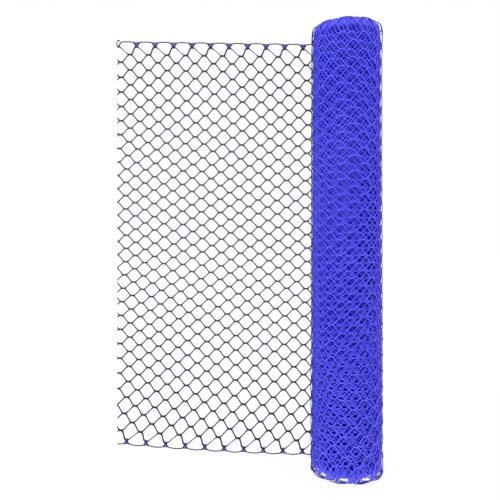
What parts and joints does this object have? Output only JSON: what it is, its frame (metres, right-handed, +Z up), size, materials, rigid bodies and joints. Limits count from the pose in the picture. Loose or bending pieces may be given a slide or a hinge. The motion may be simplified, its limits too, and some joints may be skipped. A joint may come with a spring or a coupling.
{
  "type": "plastic fencing net roll",
  "caption": "Roll of blue plastic diamond mesh fencing standing on its end, with a straight stretch of the net unrolled from its back to a cut free end.",
  "frame": {"origin": "at floor level, below the middle of the object's bounding box", "axes": "+Z up along the roll's axis and across the net's width, the unrolled stretch runs along -X from the roll, +Y points to the back, the side of the roll that the stretch leaves"},
  "size_m": [0.623, 0.1656, 1.008],
  "materials": {
    "roll_plastic": "smooth extruded strands, satin",
    "sheet_plastic": "smooth extruded strands, satin"
  },
  "bodies": {
    "root": {"net_roll": "roll_plastic", "net_sheet_by_roll": "sheet_plastic", "net_sheet_free_end": "sheet_plastic"}
  },
  "joints": []
}
